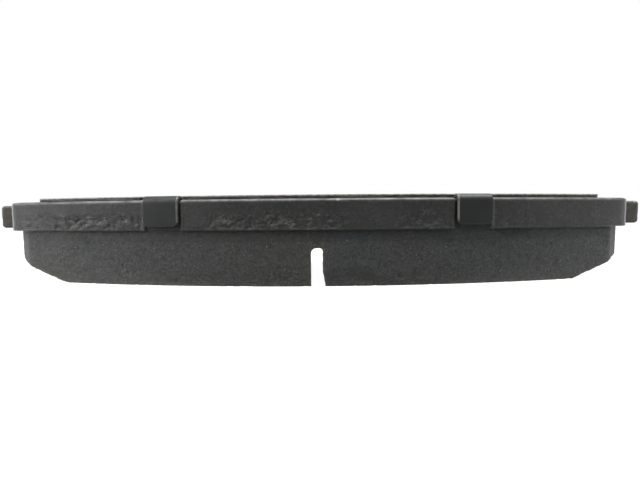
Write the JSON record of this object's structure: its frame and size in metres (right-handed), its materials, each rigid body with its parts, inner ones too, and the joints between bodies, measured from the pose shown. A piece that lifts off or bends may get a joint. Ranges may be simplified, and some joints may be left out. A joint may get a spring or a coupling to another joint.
{
  "type": "disc brake pad",
  "caption": "Disc brake pad with an eared steel backing plate, slotted and ramped friction lining and a clip-on laminated shim.",
  "frame": {"origin": "middle of the pad's outline, on the friction face", "axes": "+X along the pad's length, -Y towards the outer arc, +Z from the friction face to the shim"},
  "size_m": [0.1744, 0.066, 0.0174],
  "materials": {
    "plate_paint": "semi-gloss black paint over a stamped edge, rough where the edge tore",
    "adhesive": "dark cured adhesive",
    "underlayer": "moulded, fine grained",
    "friction": "moulded, granular, with pale specks",
    "shim_rubber": "matte black coat",
    "shim_steel": "sheared edge",
    "shim_damping": "black viscoelastic layer",
    "shim_paint": "dark grey coated steel, smooth and semi-matte, paler on its cut edge"
  },
  "bodies": {
    "pad": {"backing_plate": "plate_paint", "bonding_film": "adhesive", "underlayer": "underlayer", "friction_block": "friction"},
    "shim": {"shim_coat": "shim_rubber", "shim_core": "shim_steel", "shim_damping_layer": "shim_damping", "shim_cover": "shim_paint"}
  },
  "joints": [
    {"name": "shim_pull", "type": "slide", "parent": "pad", "child": "shim", "axis": [0, 0, 1], "range_m": [0, 0.01]}
  ]
}
